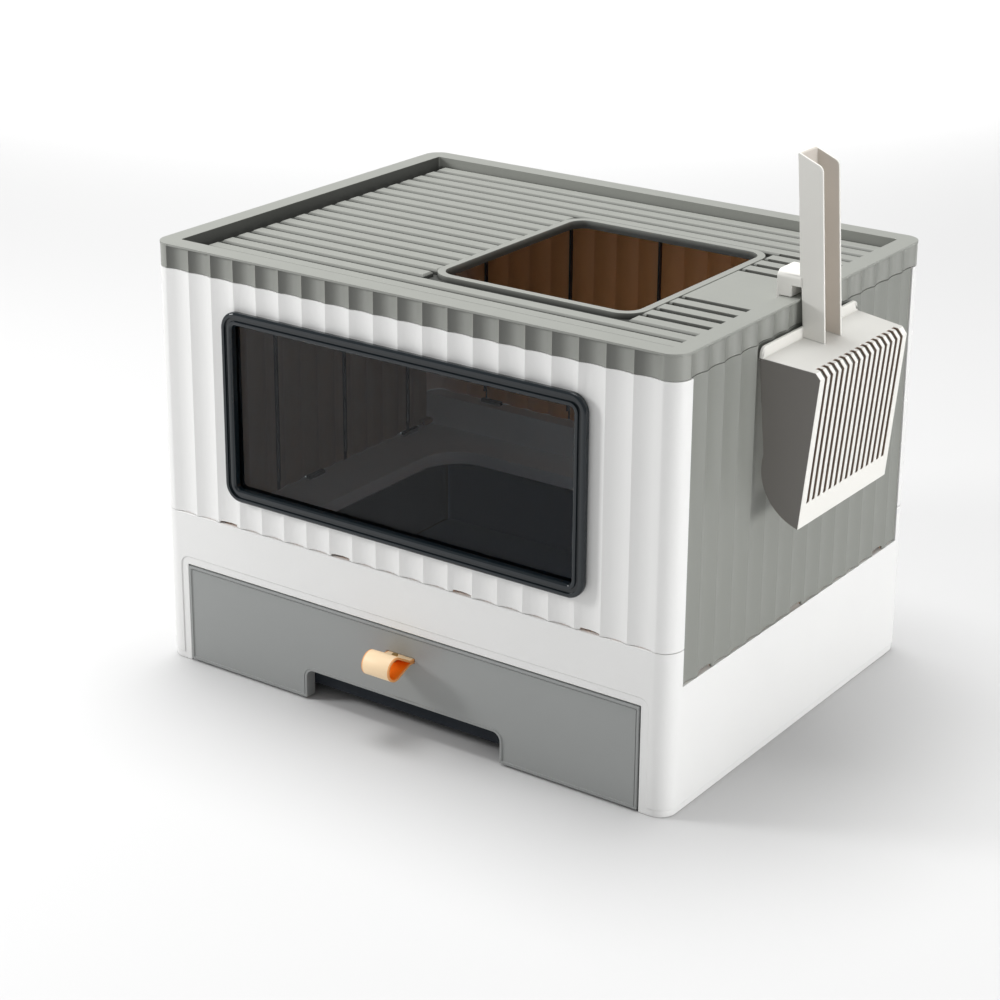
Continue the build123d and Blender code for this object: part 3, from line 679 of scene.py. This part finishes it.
def strapPath(shape):
    thick = shape["thickness"]
    loop = (shape["reach"], shape["rise"])
    tilt = math.atan2(shape["rise"], shape["reach"])
    half = math.asin(shape["radius"] / math.hypot(*loop))
    start = tilt + math.pi / 2 + half
    path = arcPoints(loop, shape["radius"], start, math.pi + 2 * half, shape["arcSteps"])
    path.append((thick / math.tan(half - tilt), -thick))
    eyeEdge = math.asin(thick / shape["eyeRadius"])
    eye = (shape["eyeAt"], 0)
    path += arcPoints(eye, shape["eyeRadius"], -eyeEdge, 2 * math.pi - 2 * eyeEdge, shape["eyeSteps"])
    path.append((thick / math.tan(half + tilt), thick))
    path.append(path[0])
    return [Vector((0, shape["front"] - out, shape["height"] + up)) for out, up in path]


def makeStrap(shape):
    places = strapPath(shape)  # outer face, from the fork's top round the loop and back by the eye
    bpy.ops.object.select_all(action="DESELECT")
    bpy.ops.mesh.primitive_plane_add(size=shape["width"], location=(0, 0, 0))
    strap = bpy.context.object
    strap.name = strap.data.name = "strapLoop"
    bpy.ops.object.mode_set(mode="EDIT")
    bpy.ops.mesh.select_all(action="SELECT")
    bpy.ops.transform.resize(value=(1, 0, 1))  # the plane becomes the strap's end edge
    bpy.ops.mesh.remove_doubles(threshold=mergeWithin)
    bpy.ops.mesh.select_all(action="SELECT")
    bpy.ops.transform.translate(value=places[0])
    for here, there in zip(places, places[1:]):
        bpy.ops.mesh.extrude_edges_move(TRANSFORM_OT_translate={"value": there - here})
    bpy.ops.mesh.select_all(action="SELECT")
    bpy.ops.mesh.remove_doubles(threshold=mergeWithin)
    bpy.ops.mesh.normals_make_consistent(inside=False)
    bpy.ops.object.mode_set(mode="OBJECT")
    strap.data.materials.append(strapMaterial("strapOutside", outsideLook))
    strap.data.materials.append(strapMaterial("strapInside", insideLook))
    activate(strap)
    applyModifier(
        strap,
        "SOLIDIFY",
        thickness=shape["thickness"] - shape["layerGap"],
        offset=-1.0,
        use_even_offset=True,
        material_offset=1,
        material_offset_rim=0,
    )
    roundEdges(strap, shape)
    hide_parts("pull_loop")
    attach(strap, "drawer")


makeStrap(strapShape)
print("stage: strap done")


def makeFloor():
    look = {"color": (0.61, 0.61, 0.61), "roughness": 0.8, "size": 14.0, "drop": -0.0002}
    bpy.ops.object.select_all(action="DESELECT")
    bpy.ops.mesh.primitive_plane_add(size=look["size"], location=(0, 0, look["drop"]))
    floor = bpy.context.object
    floor.name = "studioFloor"
    material, tree, shader = startMaterial("floorPaint")
    shader.inputs["Base Color"].default_value = (*look["color"], 1)
    shader.inputs["Roughness"].default_value = look["roughness"]
    floor.data.materials.append(material)


studioLook = {"world": (1.0, 1.0, 1.0), "strength": 0.39, "transform": "Standard"}
studioLights = {
    "keyLight": {
        "place": (-1.45, -1.0, 0.95),
        "aim": (0, -0.1, 0.2),
        "size": 0.5,
        "power": 15.5,
        "spread": 180,
    },
    "fillLight": {
        "place": (2.1, 0.1, 0.28),
        "aim": (0.25, 0, 0.2),
        "size": 0.5,
        "power": 18.0,
        "spread": 180,
    },
    "topLight": {
        "place": (-0.7, 0.5, 5.0),
        "aim": (-0.1, 0.05, 0),
        "size": 3.6,
        "power": 280.0,
        "spread": 180,
    },
    "backdropLight": {
        "place": (-2.2, 3.0, 2.6),
        "aim": (-2.2, 3.0, 0),
        "size": 2.6,
        "power": 55.0,
        "spread": 60,
    },
}


def addLight(name, look):
    data = bpy.data.lights.new(name, "AREA")
    data.shape = "DISK"
    data.size = look["size"]
    data.energy = look["power"]
    data.spread = math.radians(look["spread"])
    light = bpy.data.objects.new(name, data)
    bpy.context.scene.collection.objects.link(light)
    light.location = look["place"]
    light.rotation_euler = (Vector(look["aim"]) - Vector(look["place"])).to_track_quat("-Z", "Y").to_euler()


def makeStudio():
    world = bpy.data.worlds.new("studioWorld")
    world.use_nodes = True
    background = world.node_tree.nodes["Background"]
    background.inputs["Color"].default_value = (*studioLook["world"], 1)
    background.inputs["Strength"].default_value = studioLook["strength"]
    bpy.context.scene.world = world
    for name, look in studioLights.items():
        addLight(name, look)
    bpy.context.scene.view_settings.view_transform = studioLook["transform"]


def makeCamera():
    look = {
        "place": (1.07601, -1.57632, 0.903653),
        "azimuth": 34.913,
        "elevation": 19.508,
        "roll": 0.505,
        "focal": 2.433271,  # in widths of the sensor
        "shift": (-0.015, -0.100),
        "sensor": 36.0,
        "clipEnd": 50.0,
    }
    azimuth, elevation, roll = (math.radians(look[key]) for key in ("azimuth", "elevation", "roll"))
    level = math.cos(elevation)
    right = Vector((math.cos(azimuth), math.sin(azimuth), 0))
    back = Vector((math.sin(azimuth) * level, -math.cos(azimuth) * level, math.sin(elevation)))
    up = back.cross(right)
    rolledRight = right * math.cos(roll) + up * math.sin(roll)
    rolledUp = up * math.cos(roll) - right * math.sin(roll)
    data = bpy.data.cameras.new("photoCamera")
    data.sensor_width = look["sensor"]
    data.lens = look["focal"] * look["sensor"]
    data.shift_x, data.shift_y = look["shift"]
    data.clip_end = look["clipEnd"]
    camera = bpy.data.objects.new("photoCamera", data)
    bpy.context.scene.collection.objects.link(camera)
    turn = Matrix((rolledRight, rolledUp, back)).transposed().to_4x4()
    camera.matrix_world = Matrix.Translation(look["place"]) @ turn
    bpy.context.scene.camera = camera


makeFloor()
makeStudio()
makeCamera()
print("stage: floor, light and camera done")
